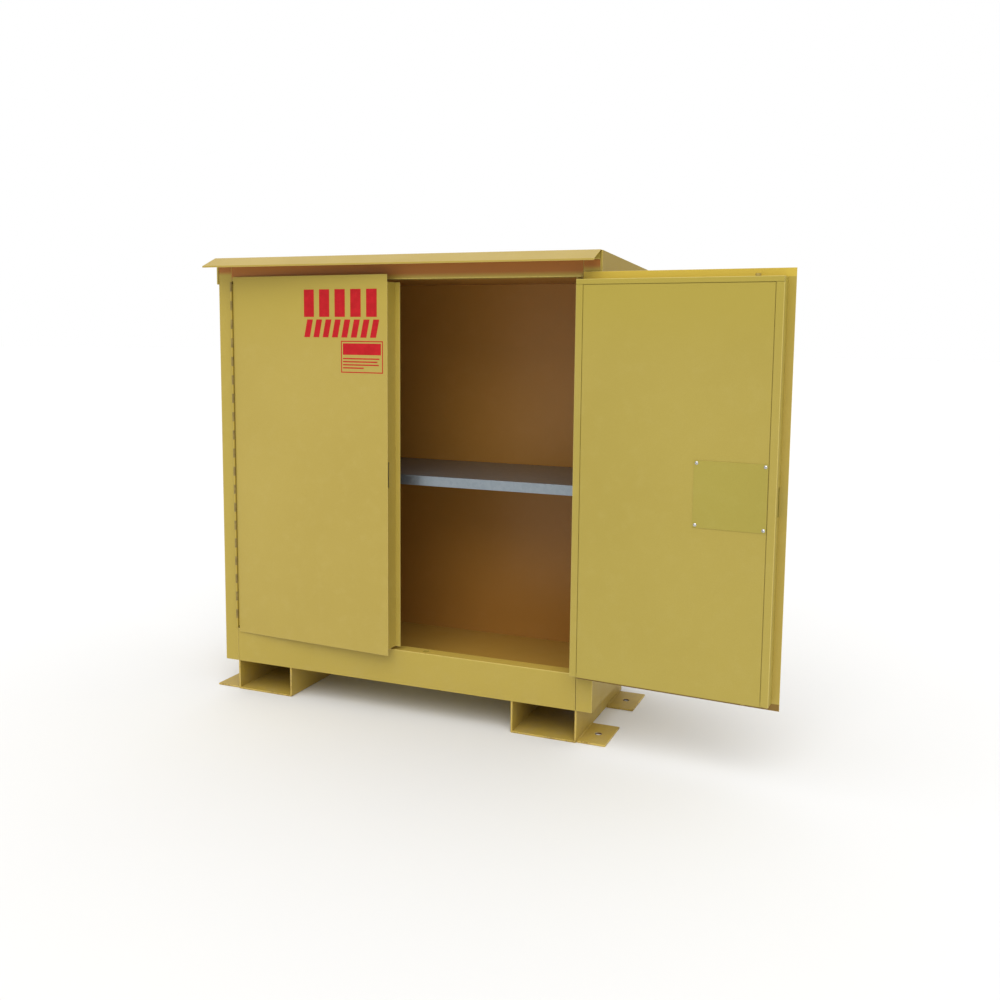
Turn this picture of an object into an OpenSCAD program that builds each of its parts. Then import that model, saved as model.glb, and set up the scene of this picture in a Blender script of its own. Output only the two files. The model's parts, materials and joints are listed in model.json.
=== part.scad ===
// Outdoor safety cabinet for flammable liquids: a double-walled steel box with two
// hinged doors, a weather roof, a spill sill and a welded fork-lift base.
// Millimetres. +X is right when facing the doors, +Y goes back, +Z is up.
// The origin is at floor level, in the middle of the four anchor holes.

/* [Cabinet box] */
// Width over the side panels
box_w = 1092; // [1000:1:1200]
// Depth from the door frame's face to the back panel
box_d = 457; // [440:1:600]
// Height of the box's underside above the floor
box_z0 = 84.6; // [70:0.1:120]
// Height of the box's top above the floor
box_z1 = 1192; // [1180:1:1300]
// Air space between the outer and the inner wall
air_gap = 38.1; // [30:0.1:45]
// Thickness of the panels, 18 gauge steel
sheet = 1.2; // [1:0.1:1.6]

/* [Door frame] */
// Width of each stile beside the doors
stile_w = 42.5; // [38:0.5:60]
// Height of the sill's top, which is the lowest edge of the doorway
sill_z = 178.7; // [160:0.1:200]
// Height of the header's underside, the highest edge of the doorway
header_z = 1152.3; // [1100:0.1:1160]
// Depth of the frame, back to the inner walls
jamb_d = 38; // [36:0.5:45]
// Height of the inner floor, which lies below the sill to hold a spill
floor_z = 125.1; // [120:0.1:150]
// Height of the inner ceiling
ceiling_z = 1158.7; // [1155:0.1:1165]
// Width of the open seam between a stile and the sill
seam = 0.9; // [0.5:0.1:1.2]

/* [Roof] */
// How far the eave stands out in front of the door frame
eave_out = 66.3; // [40:0.1:100]
// Height of the bend where the eave meets the roof
roof_z = 1214.3; // [1210:0.1:1235]
// How far that bend lies in front of the door frame
roof_bend_out = 10.7; // [0:0.1:20]
// Height of the eave's front bend
eave_z = 1190.7; // [1185:0.1:1200]
// Fall of the roof towards the back, in degrees
roof_fall = 2.5; // [1:0.1:2.6]
// Height of the bottom of the side skirts
skirt_z = 1144; // [1120:1:1160]

/* [Fork base] */
// Width of each fork pocket's channel
fork_w = 176.6; // [150:0.1:200]
// Half the distance over the outer walls of the two channels
fork_x = 505.9; // [450:0.1:530]
// Thickness of the channels and the foot plates
plate_t = 4.8; // [4:0.1:8]
// Length of the channels
fork_len = 424; // [400:1:440]
// How far each foot plate stands out from its channel
foot_w = 74.3; // [60:0.1:90]
// Length of each foot plate
foot_len = 133; // [100:1:150]
// Diameter of the anchor holes
anchor_d = 17.5; // [14:0.1:20]
// Distance between the anchor holes, front to back
anchor_pitch_y = 267; // [240:1:280]

/* [Doors] */
// How far the left door stands open, in degrees
left_open = 3.8; // [0:0.1:180]
// How far the right door stands open, in degrees
right_open = 176; // [0:0.1:180]
// Thickness of the doors' boxes
door_t = 38; // [36:0.5:42]
// Height of the skins' lower edge, which laps over the sill
skin_z0 = 170.5; // [165:0.1:176]
// Height of the skins' upper edge, which laps over the header
skin_z1 = 1163.1; // [1156:0.1:1170]
// Gap between each skin's free edge and the middle of the cabinet
meeting_gap = 2.5; // [1.5:0.1:4]
// Width of the lip that the right skin leaves beside its box
right_lip = 17.75; // [15:0.05:25]
// Width of the groove round each door's inner panel
groove_w = 1.7; // [1:0.1:2.2]
// Depth of that groove
groove_d = 2.6; // [1.5:0.1:3]

/* [Hinges] */
// Outer radius of the knuckles
knuckle_r = 3.2; // [3:0.1:3.4]
// Radius of the hinge pins
pin_r = 1.5; // [1.2:0.05:1.8]
// Number of knuckles on each hinge
knuckles = 38; // [12:2:44]

/* [Latch] */
// Height of the handle's spindle
latch_z = 676; // [660:1:690]
// Distance from the hinge's axis to the spindle
latch_u = 443.5; // [440:0.5:446]
// Turning radius of the two cam pins
cam_r = 18; // [17:0.5:18]
// Radius of the locking rods
rod_r = 6.35; // [5:0.05:7]
// Distance from the hinge's axis to the locking rods
rod_u = 420.7; // [418:0.1:424]
// Length of the lever from the spindle to its tip
lever_len = 118; // [90:1:140]

/* [Shelf] */
// Height of the shelf's top
shelf_z = 640.4; // [400:1:900]
// Depth of the shelf's turned-down edges
shelf_lip = 26; // [20:1:40]

/* [Hidden] */
$fn = 48;

paint = "#c9ad55";
galvanised = "#8f9aa0";
zinc = "#a9a795";
black = "#1c1c1d";
chrome = "#c4c6c8";
steel = "#8a8a88";
brass = "#b89545";
eps = 0.02;

// Fore and aft places. The first anchor holes lie this far behind the door frame's face.
first_anchor = 73.5;
front_y = -anchor_pitch_y / 2 - first_anchor;
back_y = front_y + box_d;
side_x = box_w / 2;
wall_x = side_x - sheet;
jamb_x = side_x - stile_w;
liner_x = wall_x - air_gap - sheet;
liner_y0 = front_y + jamb_d;
liner_y1 = back_y - sheet - air_gap;
anchor_x = fork_x + foot_w / 2;
fork_y0 = front_y + 3;

// The doors turn about these axes, one on each side, in front of the frame.
hinge_x = jamb_x - 1.75;
hinge_y = front_y - 5.2;
leaf_t = 1.5;
leaf_gap = 0.25;
hinge_z0 = sill_z + 5.7;
hinge_z1 = header_z - 2.7;
hinge_len = hinge_z1 - hinge_z0;
knuckle_l = hinge_len / knuckles;
knuckle_gap = 0.4;

// Door places are measured from the hinge's axis: u across, d into the cabinet.
skin_d0 = 2;
skin_d1 = skin_d0 + sheet;
door_back = skin_d1 + door_t;
skin_u0 = 5.25;
skin_u1 = hinge_x - meeting_gap;
pan_u0 = leaf_gap + leaf_t;
right_pan_u1 = skin_u1 - right_lip;
pan_z0 = skin_z0 + 17;
pan_z1 = skin_z1 - 19.1;
return_w = 17.4;
top_return_w = 12;
weld_flange = 12;
butt_gap = 0.8;
astragal_out = 14;

// Latch layers, from the skin inwards.
tongue_d0 = 6.7;
tongue_t = 3;
tongue_len = 68.5;
tongue_half_w = 6.5;
cam_d0 = 13;
cam_t = 3;
link_d0 = 16.5;
link_t = 3;
rod_d = 23;
bracket_d0 = 32;
bracket_t = 2.5;
bracket_half_z = 30;
spindle_r = 5.5;
neck_r = 12;
running = 0.06;
cam_pin_r = 3;
slot_side = 0.6;
slot_rise = 0.9;
link_start = 6.5;
link_end = 25;
rest_angle = 45;
slot_z0 = latch_z - 59.5;
slot_z1 = latch_z + 7.5;
slot_d0 = 5.5;
slot_d1 = 10.9;
// The right door's own slot is wider, up to the latch bracket.
wide_slot_d1 = 19.4;
rod_clear = 0.4;
tip_proud = 6.8;
keeper_r = rod_r + 1.65;
keeper_t = 3;
socket_depth = 26.4;

// Handle, measured outwards (negative d).
escutcheon_t = 4;
hub_gap = 0.5;
hub_r = 16;
hub_d0 = -20;
plug_r = 8;
plug_depth = 10;

// Access plate over the latch. Its free edge is in line with the inner panel's.
cover_u0 = 296;
cover_u1 = right_pan_u1 - return_w - groove_w - 0.3;
cover_d1 = door_back + sheet;
cover_z0 = 582.5;
cover_z1 = 736;
cover_screw_inset = 6;
cover_screw_r = 2;
access_inset = 14;

// Shelf.
shelf_side_gap = 2;
shelf_y0 = front_y + 62;
shelf_y1 = liner_y1 - 3;
shelf_bracket_l = 40;

// Vents, one low on the left and one high on the right.
vent_r = 30.15;
vent_bore_r = 26.25;
vent_y = back_y - 90;
vent_low_z = 205;
vent_high_z = 1075;
vent_out = 14;

ground_y = back_y - 45;
ground_z = 130;
ground_r = 4;

roof_t = 1.5;
roof_side = side_x + 3;
roof_bend_y = front_y - roof_bend_out;
skirt_t = 2;

// Height of the roof's upper and under surface at a place front to back.
function roof_top(y) = roof_z - tan(roof_fall) * (y - roof_bend_y);
function roof_under(y) = roof_top(y) - roof_t / cos(roof_fall);

// ---------------------------------------------------------------- helpers

// A block from one corner to the opposite one.
module block(low, high) translate(low) cube(high - low);

// The same solid on the left (-1) or the right (1) of the cabinet.
module on_side(side) mirror([side < 0 ? 1 : 0, 0, 0]) children();

// A bent sheet's outline: a strip of thickness t along a path, round at its bends.
module strip(path, t) {
    for (i = [0 : len(path) - 2]) {
        step = path[i + 1] - path[i];
        translate(path[i]) rotate(atan2(step[1], step[0]))
            translate([0, -t / 2]) square([norm(step), t]);
    }
    if (len(path) > 2)
        for (i = [1 : len(path) - 2]) translate(path[i]) circle(d = t);
}

// An outline in Y and Z, drawn out along X between two places.
module along_x(x0, x1) translate([x0, 0, 0]) rotate([90, 0, 90]) linear_extrude(x1 - x0) children();

// A round rod or a bore along Y in door space: u and z are its centre.
module round_d(u, z, r, d0, d1) translate([u, d1, z]) rotate([90, 0, 0]) cylinder(r = r, h = d1 - d0);

// A plate in door space from an outline in u and z.
module plate_d(d0, d1) translate([0, d1, 0]) rotate([90, 0, 0]) linear_extrude(d1 - d0) children();

// Puts door parts, drawn closed and from the hinge's axis, where the door stands.
module on_door(side) {
    open = side > 0 ? right_open : -left_open;
    translate([side * hinge_x, hinge_y, 0]) rotate([0, 0, open])
        mirror([side > 0 ? 1 : 0, 0, 0]) children();
}

// ---------------------------------------------------------------- outer box

module side_panel(side) color(paint) on_side(side) difference() {
    block([wall_x, front_y, box_z0], [side_x, back_y, box_z1]);
    translate([wall_x - 1, vent_y, side > 0 ? vent_high_z : vent_low_z])
        rotate([0, 90, 0]) cylinder(r = vent_r, h = sheet + 2);
    if (side < 0)
        translate([wall_x - 1, ground_y, ground_z]) rotate([0, 90, 0]) cylinder(r = ground_r, h = sheet + 2);
}

module back_panel() color(paint)
    block([-wall_x, back_y - sheet, box_z0], [wall_x, back_y, box_z1]);

module bottom_panel() color(paint)
    block([-wall_x, front_y + sheet, box_z0], [wall_x, back_y - sheet, box_z0 + sheet]);

module top_panel() color(paint)
    block([-wall_x, front_y + sheet, box_z1 - sheet], [wall_x, back_y - sheet, box_z1]);

// ---------------------------------------------------------------- inner box

module liner_side(side) color(paint) on_side(side) difference() {
    block([liner_x, liner_y0, floor_z], [liner_x + sheet, liner_y1, ceiling_z]);
    translate([liner_x - 1, vent_y, side > 0 ? vent_high_z : vent_low_z])
        rotate([0, 90, 0]) cylinder(r = vent_r, h = sheet + 2);
}

module liner_back() color(paint)
    block([-liner_x, liner_y1 - sheet, floor_z], [liner_x, liner_y1, ceiling_z]);

module liner_floor() color(paint)
    block([-liner_x - sheet, liner_y0, floor_z - sheet], [liner_x + sheet, liner_y1, floor_z]);

module liner_ceiling() color(paint)
    block([-liner_x - sheet, liner_y0, ceiling_z], [liner_x + sheet, liner_y1, ceiling_z + sheet]);

// ---------------------------------------------------------------- door frame

// A stile: the face beside the door, the jamb behind it and a flange to the inner wall.
module frame_stile(side) color(paint) on_side(side) {
    flange = 7;
    block([jamb_x, front_y, box_z0], [wall_x, front_y + sheet, box_z1]);
    block([jamb_x, front_y + sheet, box_z0 + sheet], [jamb_x + sheet, liner_y0, box_z1 - sheet]);
    block([jamb_x + sheet, liner_y0 - sheet, box_z0 + sheet],
        [jamb_x + sheet + flange, liner_y0, box_z1 - sheet]);
}

// An upright cylinder in line with the locking rods when the right door is shut.
module in_line_with_rods(z0, z1, r)
    translate([hinge_x - rod_u, hinge_y + rod_d, z0]) cylinder(r = r, h = z1 - z0);

module frame_header() color(paint) difference() {
    flange = 12;
    union() {
        block([-jamb_x, front_y, header_z], [jamb_x, front_y + sheet, box_z1]);
        block([-jamb_x, front_y + sheet, header_z], [jamb_x, liner_y0, header_z + sheet]);
        block([-jamb_x, liner_y0 - sheet, header_z + sheet], [jamb_x, liner_y0, header_z + flange]);
    }
    in_line_with_rods(header_z - 1, header_z + sheet + 1, keeper_r);
}

// The sill holds back a spill, so the bottom rod's socket in its top is a closed cup.
module frame_sill() color(paint) difference() {
    union() {
        block([seam - jamb_x, front_y, box_z0], [jamb_x - seam, front_y + sheet, sill_z]);
        block([-jamb_x, front_y + sheet, sill_z - sheet], [jamb_x, liner_y0, sill_z]);
        block([-jamb_x, liner_y0 - sheet, floor_z - 15], [jamb_x, liner_y0, sill_z - sheet]);
        in_line_with_rods(sill_z - socket_depth, sill_z - sheet / 2, keeper_r + sheet);
    }
    in_line_with_rods(sill_z - socket_depth + sheet, sill_z + 1, keeper_r);
}

// Thick plates behind the header and the sill that take the rods.
module rod_keepers() color(zinc)
    for (keeper = [[header_z + sheet, keeper_r], [sill_z - sheet - keeper_t, keeper_r + sheet]]) {
        half_w = 28;
        x = hinge_x - rod_u;
        z = keeper[0];
        difference() {
            block([x - half_w, front_y + sheet, z], [x + half_w, liner_y0 - sheet, z + keeper_t]);
            in_line_with_rods(z - 1, z + keeper_t + 1, keeper[1]);
        }
    }

// ---------------------------------------------------------------- roof

// The roof: a drip lip, the eave, the long fall to the back and a lip over the back panel.
module roof_sheet() color(paint) {
    lip = 5.2;
    back_lip = 16;
    half_t = roof_t / 2;
    front = front_y - eave_out + half_t;
    rear = back_y + half_t;
    along_x(-roof_side, roof_side) strip([
        [front, eave_z - lip],
        [front, eave_z - roof_t],
        [roof_bend_y, roof_z - half_t],
        [rear, roof_top(rear) - half_t],
        [rear, roof_top(rear) - back_lip]
    ], roof_t);
}

// A tube under the front of the roof that carries it on the box.
module roof_rail() color(paint) {
    rail_d = 25;
    wall = 1.5;
    sag = 0.1;
    y1 = front_y + rail_d;
    along_x(-wall_x, wall_x) difference() {
        polygon([[front_y, box_z1], [y1, box_z1], [y1, roof_under(y1) - sag],
            [front_y, roof_under(front_y) - sag]]);
        polygon([
            [front_y + wall, box_z1 + wall], [y1 - wall, box_z1 + wall],
            [y1 - wall, roof_under(y1) - sag - wall], [front_y + wall, roof_under(front_y) - sag - wall]
        ]);
    }
}

// A skirt that closes the roof's end and hangs down over the side panel.
module roof_skirt(side) color(paint) on_side(side) {
    y0 = front_y - skirt_t;
    along_x(roof_side, roof_side + skirt_t)
        polygon([[y0, skirt_z], [back_y + roof_t, skirt_z], [back_y + roof_t, roof_top(back_y)],
            [y0, roof_top(y0)]]);
    block([side_x, y0, skirt_z], [roof_side, front_y, roof_under(front_y) - 1]);
}

// ---------------------------------------------------------------- fork base

// A channel, open at the top, that a lift truck's fork enters from the front or the back.
module fork_channel(side) color(paint) on_side(side)
    translate([0, fork_y0 + fork_len, 0]) rotate([90, 0, 0]) linear_extrude(fork_len) difference() {
        translate([fork_x - fork_w, 0]) square([fork_w, box_z0]);
        translate([fork_x - fork_w + plate_t, plate_t]) square([fork_w - 2 * plate_t, box_z0]);
    }

// A plate beside a channel with one anchor hole; end is -1 at the front, 1 at the back.
module foot_plate(side, end) color(paint) on_side(side) difference() {
    y = end * anchor_pitch_y / 2;
    block([fork_x, y - foot_len / 2, 0], [fork_x + foot_w, y + foot_len / 2, plate_t]);
    translate([anchor_x, y, -1]) cylinder(d = anchor_d, h = plate_t + 2);
}

// ---------------------------------------------------------------- fittings inside and on the sides

// The shelf: a tray turned upside down, with a small return under its front edge.
module shelf() color(galvanised) {
    half_w = liner_x - shelf_side_gap;
    z0 = shelf_z - shelf_lip;
    difference() {
        block([-half_w, shelf_y0, z0], [half_w, shelf_y1, shelf_z]);
        block([-half_w + sheet, shelf_y0 + sheet, z0 - 1],
            [half_w - sheet, shelf_y1 - sheet, shelf_z - sheet]);
    }
    block([-half_w, shelf_y0 + sheet, z0], [half_w, shelf_y0 + 10, z0 + sheet]);
}

// Four angle brackets on the inner walls that the shelf rests on.
module shelf_brackets() color(galvanised) {
    leg = 26;
    t = 1.5;
    top = shelf_z - shelf_lip;
    for (side = [-1, 1], y = [shelf_y0 + 30, shelf_y1 - 30 - shelf_bracket_l]) on_side(side) {
        block([liner_x - leg, y, top - t], [liner_x, y + shelf_bracket_l, top]);
        block([liner_x - t, y, top - leg], [liner_x, y + shelf_bracket_l, top - t]);
    }
}

// Places vent parts on their wall, drawn along +X from the side panel's outer face.
module at_vent(side) on_side(side)
    translate([side_x, vent_y, side > 0 ? vent_high_z : vent_low_z]) rotate([0, 90, 0]) children();

// A threaded collar through both walls, with a flange against the side panel.
module vent_collar(side) color(zinc) at_vent(side) {
    depth = side_x - liner_x + 3;
    difference() {
        union() {
            translate([0, 0, -depth]) cylinder(r = vent_r, h = depth + vent_out);
            cylinder(r = vent_r + 9, h = 2);
        }
        translate([0, 0, -depth - 1]) cylinder(r = vent_bore_r, h = depth + vent_out + 2);
    }
}

// The flame arrester's perforated disc inside the collar.
module vent_screen(side) color(steel) at_vent(side) translate([0, 0, -side_x + liner_x + 6]) difference() {
    hole_r = 2.4;
    cylinder(r = vent_bore_r, h = 2);
    for (ring = [[0, 1], [10, 6], [20, 12]], k = [0 : ring[1] - 1])
        rotate(360 / ring[1] * k) translate([ring[0], 0, -1]) cylinder(r = hole_r, h = 4);
}

// A screwed cap over the collar's end, with a square to turn it by.
module vent_cap(side) color(paint) at_vent(side) {
    lap = 10;
    end_t = 3;
    difference() {
        translate([0, 0, vent_out - lap]) cylinder(r = vent_r + 3.5, h = lap + end_t);
        translate([0, 0, vent_out - lap - 1]) cylinder(r = vent_r, h = lap + 1);
    }
    translate([-9, -9, vent_out + end_t]) cube([18, 18, 7]);
}

// The earthing stud: a headed stud through the side panel with a washer and a nut.
module ground_stud() color(brass) on_side(-1) translate([side_x, ground_y, ground_z]) rotate([0, 90, 0]) {
    translate([0, 0, -sheet]) cylinder(r = ground_r, h = 21);
    translate([0, 0, -sheet - 3]) cylinder(r = 7, h = 3);
    cylinder(r = 9, h = 1.6);
    translate([0, 0, 1.6]) cylinder(r = 7.5, h = 6.5, $fn = 6);
}

// ---------------------------------------------------------------- hinges

// A hinge leaf in door space. The frame's leaf has the even knuckles and the door's leaf
// the odd ones. Each one's plate is cut back so that the other's knuckles can turn past it.
module hinge_leaf(first, u0) {
    leaf_w = 32;
    root_d = 2;
    plate_d0 = knuckle_r + 0.3;
    block([u0, plate_d0, hinge_z0], [u0 + leaf_t, leaf_w, hinge_z1]);
    difference() {
        for (i = [first : 2 : knuckles - 1]) {
            z0 = hinge_z0 + i * knuckle_l + knuckle_gap / 2;
            translate([0, 0, z0]) cylinder(r = knuckle_r, h = knuckle_l - knuckle_gap, $fn = 32);
            block([u0, root_d, z0], [u0 + leaf_t, plate_d0 + eps, z0 + knuckle_l - knuckle_gap]);
        }
        translate([0, 0, hinge_z0 - 1]) cylinder(r = pin_r + 0.05, h = hinge_len + 2, $fn = 32);
    }
}

// The leaf on the jamb. It lies on the far side of the axis from the door.
module hinge_frame_leaf(side) color(paint)
    translate([side * hinge_x, hinge_y, 0]) on_side(side) hinge_leaf(0, leaf_gap);

module hinge_pin(side) color(zinc) translate([side * hinge_x, hinge_y, hinge_z0])
    cylinder(r = pin_r, h = hinge_len, $fn = 32);

// The leaf on the door, drawn in door space.
module hinge_door_leaf(side) color(paint) on_door(side) hinge_leaf(1, leaf_gap);

// ---------------------------------------------------------------- doors, in door space

// A skin: the door's outer sheet, which laps over the frame all round.
module door_skin_sheet() block([skin_u0, skin_d0, skin_z0], [skin_u1, skin_d1, skin_z1]);

// The door's box frame: four walls with a flange on the skin and a return at the back.
// The bottom return is set in by one sheet, so that the inner panel can lie over it.
module door_pan(u1) {
    difference() {
        block([pan_u0, skin_d1, pan_z0], [u1, door_back, pan_z1]);
        block([pan_u0 + sheet, skin_d1 + sheet, pan_z0 + sheet],
            [u1 - sheet, door_back - sheet, pan_z1 - sheet]);
        block([pan_u0 + weld_flange, skin_d1 - 1, pan_z0 + weld_flange],
            [u1 - weld_flange, skin_d1 + sheet + 1, pan_z1 - weld_flange]);
        block([pan_u0 + return_w, door_back - sheet - 1, pan_z0 + sheet],
            [u1 - return_w, door_back + 1, pan_z1 - top_return_w]);
        block([pan_u0 + return_w, door_back - sheet, pan_z0 - 1],
            [u1 - return_w, door_back + 1, pan_z0 + top_return_w]);
        // The upright returns stop short of the top one.
        block([pan_u0 - 1, door_back - sheet, pan_z1 - top_return_w - butt_gap],
            [u1 + 1, door_back + 1, pan_z1 - top_return_w]);
    }
    block([pan_u0 + sheet / 2, door_back - 2 * sheet, pan_z0],
        [u1 - sheet / 2, door_back - sheet, pan_z0 + top_return_w]);
}

// The inner panel: a flush face with a joggled edge that lies behind the side and top returns.
// Its lower edge is plain and covers the bottom return.
module door_panel(u1) {
    edge_d = door_back - groove_d - sheet;
    low = [pan_u0 + return_w + groove_w, pan_z0 + top_return_w + groove_w];
    high = [u1 - return_w - groove_w, pan_z1 - top_return_w - groove_w];
    difference() {
        union() {
            block([pan_u0 + sheet, edge_d, low[1]], [u1 - sheet, edge_d + sheet, pan_z1 - sheet]);
            block([low[0], edge_d, low[1]], [high[0], door_back, high[1]]);
            block([low[0], door_back - sheet, pan_z0], [high[0], door_back, low[1] + sheet]);
        }
        block([low[0] + sheet, edge_d - 1, low[1] - 1],
            [high[0] - sheet, door_back - sheet, high[1] - sheet]);
    }
}

// The slot that the tongue passes, through a wall between two distances.
module tongue_slot(u0, u1, d1 = slot_d1) block([u0, slot_d0, slot_z0], [u1, d1, slot_z1]);

module left_door_skin() color(paint) on_door(-1) door_skin_sheet();

module left_door_frame() color(paint) on_door(-1) difference() {
    door_pan(skin_u1);
    tongue_slot(skin_u1 - sheet - 1, skin_u1 + 1);
}

module left_door_liner() color(paint) on_door(-1) door_panel(skin_u1);

// A strip along the left door's inner edge that closes the gap between the doors.
module left_door_astragal() color(paint) on_door(-1) {
    lap = 15;
    block([skin_u1 - lap, door_back, pan_z0], [skin_u1 + astragal_out, door_back + sheet, pan_z1]);
}

// A thick plate behind the left door's slot that the tongue hooks behind.
module left_door_strike() color(zinc) on_door(-1) difference() {
    t = 3;
    margin = 14;
    block([skin_u1 - sheet - t, skin_d1 + sheet, slot_z0 - margin], [skin_u1 - sheet, 20, slot_z1 + margin]);
    tongue_slot(skin_u1 - sheet - t - 1, skin_u1);
}

module right_door_skin() color(paint) on_door(1) difference() {
    door_skin_sheet();
    round_d(latch_u, latch_z, neck_r + 1, skin_d0 - 1, skin_d1 + 1);
}

module right_door_frame() color(paint) on_door(1) difference() {
    door_pan(right_pan_u1);
    tongue_slot(right_pan_u1 - sheet - 1, right_pan_u1 + 1, wide_slot_d1);
    for (z = [pan_z0, pan_z1 - sheet])
        translate([rod_u, rod_d, z - 1]) cylinder(r = rod_r + rod_clear, h = sheet + 2);
}

module right_door_liner() color(paint) on_door(1) difference() {
    door_panel(right_pan_u1);
    block([cover_u0 + access_inset, door_back - sheet - 1, cover_z0 + access_inset],
        [cover_u1 - access_inset, door_back + 1, cover_z1 - access_inset]);
    cover_screw_bores();
}

// The four screw places of the cover plate, with a bore through plate and panel.
module at_cover_screws()
    for (u = [cover_u0 + cover_screw_inset, cover_u1 - cover_screw_inset],
        z = [cover_z0 + cover_screw_inset, cover_z1 - cover_screw_inset])
        translate([u, 0, z]) children();

module cover_screw_bores() at_cover_screws() round_d(0, 0, cover_screw_r, door_back - 5, cover_d1 + 1);

module latch_cover_plate() color(paint) on_door(1) difference() {
    block([cover_u0, door_back, cover_z0], [cover_u1, cover_d1, cover_z1]);
    cover_screw_bores();
}

// Dome-headed screws that hold the cover plate.
module cover_screws() color(zinc) on_door(1) at_cover_screws() {
    head_r = 4;
    head_h = 2.2;
    dome_r = (head_r * head_r + head_h * head_h) / (2 * head_h);
    round_d(0, 0, cover_screw_r, door_back - 9, cover_d1 + eps);
    translate([0, cover_d1, 0]) rotate([-90, 0, 0]) intersection() {
        translate([0, 0, head_h - dome_r]) sphere(r = dome_r, $fn = 32);
        cylinder(r = head_r, h = head_h + 1, $fn = 32);
    }
}

// ---------------------------------------------------------------- latch, in door space

// Carries the spindle's inner end: a plate on two legs, one to the skin, one to the wall.
module latch_bracket() color(zinc) on_door(1) {
    inner_u = right_pan_u1 - sheet;
    leg_u = 405;
    z0 = latch_z - bracket_half_z;
    z1 = latch_z + bracket_half_z;
    difference() {
        block([leg_u, bracket_d0, z0], [inner_u, bracket_d0 + bracket_t, z1]);
        round_d(latch_u, latch_z, spindle_r + running, bracket_d0 - 1, bracket_d0 + bracket_t + 1);
    }
    block([leg_u, skin_d1, z0], [leg_u + bracket_t, bracket_d0 + eps, z1]);
    block([inner_u - bracket_t, 20, z0], [inner_u, bracket_d0 + eps, z1]);
}

// Two angle brackets on the skin that keep the long rods straight.
module rod_guides() color(zinc) on_door(1) for (z = [430, 920]) {
    half_w = 13;
    t = 3;
    foot = 20;
    difference() {
        block([rod_u - half_w, skin_d1, z], [rod_u + half_w, bracket_d0, z + t]);
        translate([rod_u, rod_d, z - 1]) cylinder(r = rod_r + rod_clear, h = t + 2);
    }
    block([rod_u - half_w, skin_d1, z + t - eps], [rod_u + half_w, skin_d1 + t / 2, z + foot]);
}

// The plate on the skin that the handle turns in.
module handle_escutcheon() color(black) on_door(1) difference() {
    half_w = 24;
    half_h = 34;
    corner = 8;
    plate_d(skin_d0 - escutcheon_t, skin_d0) translate([latch_u, latch_z]) {
        square([2 * (half_w - corner), 2 * half_h], center = true);
        square([2 * half_w, 2 * (half_h - corner)], center = true);
        for (x = [-1, 1], z = [-1, 1])
            translate([x * (half_w - corner), z * (half_h - corner)]) circle(r = corner);
    }
    round_d(latch_u, latch_z, neck_r + running, skin_d0 - escutcheon_t - 1, skin_d0 + 1);
}

// The lever: a hub with a tapered arm, which points to the hinge when unlatched.
module handle_lever() color(black) on_door(1) difference() {
    arm_d1 = -10;
    tip_r = 8.5;
    root_half_w = 12;
    hub_d1 = skin_d0 - escutcheon_t - hub_gap;
    union() {
        round_d(latch_u, latch_z, hub_r, hub_d0, hub_d1);
        round_d(latch_u, latch_z, neck_r, hub_d1 - eps, skin_d1);
        plate_d(hub_d0, arm_d1) translate([latch_u, latch_z]) {
            polygon([[0, -root_half_w], [0, root_half_w],
                [tip_r - lever_len, tip_r], [tip_r - lever_len, -tip_r]]);
            translate([tip_r - lever_len, 0]) circle(r = tip_r);
        }
    }
    round_d(latch_u, latch_z, plug_r + running, hub_d0 - 1, hub_d0 + plug_depth);
    round_d(latch_u, latch_z, spindle_r, hub_d0 + plug_depth + 1, skin_d1 + 1);
}

module latch_spindle() color(zinc) on_door(1)
    round_d(latch_u, latch_z, spindle_r, hub_d0 + plug_depth + 1, bracket_d0 + bracket_t + 1.5);

// A disc with two pins: one lifts the top rod while the other lowers the bottom rod.
module latch_cam() color(zinc) on_door(1) {
    disc_r = cam_r + 5;
    difference() {
        union() {
            round_d(latch_u, latch_z, disc_r, cam_d0, cam_d0 + cam_t);
            round_d(latch_u, latch_z, 9, tongue_d0 + tongue_t, cam_d0 + eps);
        }
        round_d(latch_u, latch_z, spindle_r, 0, link_d0);
    }
    for (angle = [-rest_angle, 180 - rest_angle])
        round_d(latch_u + cam_r * cos(angle), latch_z + cam_r * sin(angle), cam_pin_r,
            cam_d0 + cam_t - eps, link_d0 + link_t + 1.5);
}

// The tongue hangs down when unlatched and swings out through the slot when latched.
module latch_tongue() color(zinc) on_door(1) difference() {
    plate_d(tongue_d0, tongue_d0 + tongue_t) translate([latch_u, latch_z]) {
        circle(r = 10);
        translate([-tongue_half_w, -tongue_len + tongue_half_w])
            square([2 * tongue_half_w, tongue_len - tongue_half_w]);
        translate([0, -tongue_len + tongue_half_w]) circle(r = tongue_half_w);
    }
    round_d(latch_u, latch_z, spindle_r, 0, cam_d0);
}

// A round-ended slot, long enough for a cam pin's swing, cut through a rod's link.
module pin_slot(side) {
    half_h = cam_pin_r + slot_rise;
    near = cam_r * cos(rest_angle) - cam_pin_r - slot_side + half_h;
    far = cam_r + cam_pin_r + slot_side - half_h;
    z = latch_z - side * cam_r * sin(rest_angle);
    for (reach = [near, far]) round_d(latch_u + side * reach, z, half_h, 0, rod_d + 9);
    low_u = latch_u + min(side * near, side * far);
    high_u = latch_u + max(side * near, side * far);
    block([low_u, 0, z - half_h], [high_u, rod_d + 9, z + half_h]);
}

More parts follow.
